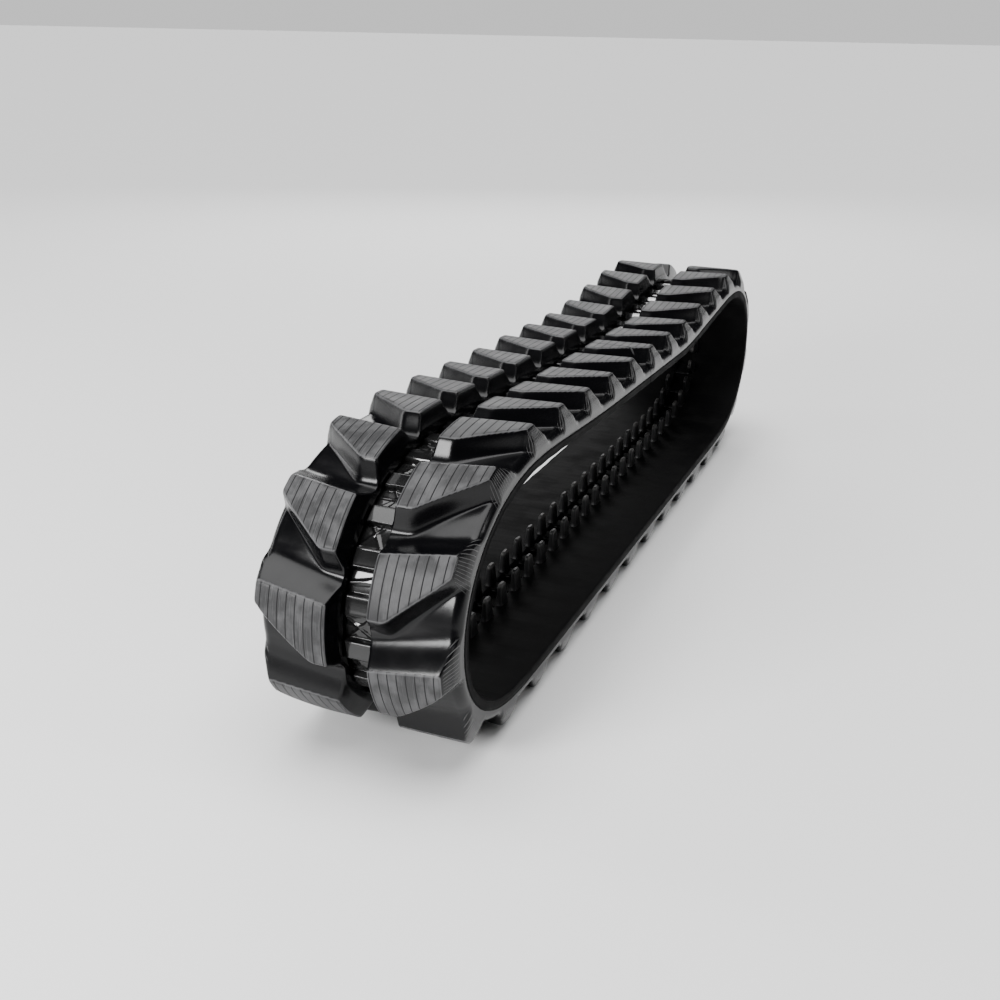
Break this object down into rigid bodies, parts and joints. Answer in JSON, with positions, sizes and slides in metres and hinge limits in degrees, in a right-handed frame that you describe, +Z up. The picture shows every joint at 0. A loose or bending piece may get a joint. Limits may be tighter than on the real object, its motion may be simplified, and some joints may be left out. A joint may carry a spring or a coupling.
{
  "type": "rubber track",
  "caption": "Endless rubber crawler belt with staggered chevron lugs, a centre channel, steel cord bands and forged cores with guide horns.",
  "frame": {"origin": "on the ground, under the middle of the belt's width and of the loop's length", "axes": "+Z up, +Y along the track from its front bend to its rear bend, +X to the right across the belt"},
  "size_m": [0.23, 1.4184, 0.3442],
  "materials": {
    "tread_rubber": "black moulded rubber, glossy on the flanks and dull and finely scratched on the wearing faces",
    "inner_rubber": "dull black moulded rubber",
    "cord": "brass-plated steel wire cord",
    "forged_steel": "dark forged steel, with a thin black rubber skin on the guide horns"
  },
  "bodies": {
    "lower_run": {"carcass_rear_bend": "inner_rubber", "carcass_ground_run": "inner_rubber", "carcass_front_bend": "inner_rubber", "tread_left_lower_run": "tread_rubber", "tread_right_lower_run": "tread_rubber", "cord_band_left_lower_run": "cord", "cord_band_right_lower_run": "cord", "core_pair_20": "forged_steel", "core_pair_21": "forged_steel", "core_pair_22": "forged_steel", "core_pair_23": "forged_steel", "core_pair_24": "forged_steel", "core_pair_25": "forged_steel", "core_pair_26": "forged_steel", "core_pair_27": "forged_steel", "core_pair_28": "forged_steel", "core_pair_29": "forged_steel", "core_pair_30": "forged_steel", "core_pair_31": "forged_steel", "core_pair_01": "forged_steel", "core_pair_02": "forged_steel", "core_pair_03": "forged_steel", "core_pair_04": "forged_steel", "core_pair_05": "forged_steel", "core_pair_06": "forged_steel", "core_pair_07": "forged_steel", "core_pair_08": "forged_steel", "core_pair_09": "forged_steel"},
    "front_span": {"carcass_front_span": "inner_rubber", "tread_left_front_span": "tread_rubber", "tread_right_front_span": "tread_rubber", "cord_band_left_front_span": "cord", "cord_band_right_front_span": "cord", "core_pair_10": "forged_steel", "core_pair_11": "forged_steel", "core_pair_12": "forged_steel"},
    "middle_front": {"carcass_middle_front": "inner_rubber", "tread_left_middle_front": "tread_rubber", "tread_right_middle_front": "tread_rubber", "cord_band_left_middle_front": "cord", "cord_band_right_middle_front": "cord", "core_pair_13": "forged_steel", "core_pair_14": "forged_steel"},
    "middle_rear": {"carcass_middle_rear": "inner_rubber", "tread_left_middle_rear": "tread_rubber", "tread_right_middle_rear": "tread_rubber", "cord_band_left_middle_rear": "cord", "cord_band_right_middle_rear": "cord", "core_pair_15": "forged_steel", "core_pair_16": "forged_steel"},
    "rear_span": {"carcass_rear_span": "inner_rubber", "tread_left_rear_span": "tread_rubber", "tread_right_rear_span": "tread_rubber", "cord_band_left_rear_span": "cord", "cord_band_right_rear_span": "cord", "core_pair_17": "forged_steel", "core_pair_18": "forged_steel", "core_pair_19": "forged_steel"}
  },
  "joints": [
    {"name": "front_sag", "type": "hinge", "parent": "lower_run", "child": "front_span", "pos_m": [0, -0.50184, 0.30583], "axis": [-1, 0, 0], "range_deg": [-2, 2], "stiffness_Nm_per_rad": 4000, "springref_deg": -0.27},
    {"name": "front_sag_back", "type": "hinge", "parent": "front_span", "child": "middle_front", "pos_m": [0, -0.21608, 0.29284], "axis": [1, 0, 0], "range_deg": [-2, 2], "stiffness_Nm_per_rad": 1500, "springref_deg": 0.12},
    {"name": "rear_sag", "type": "hinge", "parent": "lower_run", "child": "rear_span", "pos_m": [0, 0.45061, 0.30182], "axis": [1, 0, 0], "range_deg": [-2, 2], "stiffness_Nm_per_rad": 4000, "springref_deg": -0.27},
    {"name": "rear_sag_back", "type": "hinge", "parent": "rear_span", "child": "middle_rear", "pos_m": [0, 0.16529, 0.27974], "axis": [-1, 0, 0], "range_deg": [-2, 2], "stiffness_Nm_per_rad": 1500, "springref_deg": 0.12}
  ],
  "couplings": [
    {"joint": "front_sag_back", "follows": "front_sag", "ratio": 1},
    {"joint": "rear_sag", "follows": "front_sag", "ratio": 1},
    {"joint": "rear_sag_back", "follows": "front_sag", "ratio": 1}
  ]
}
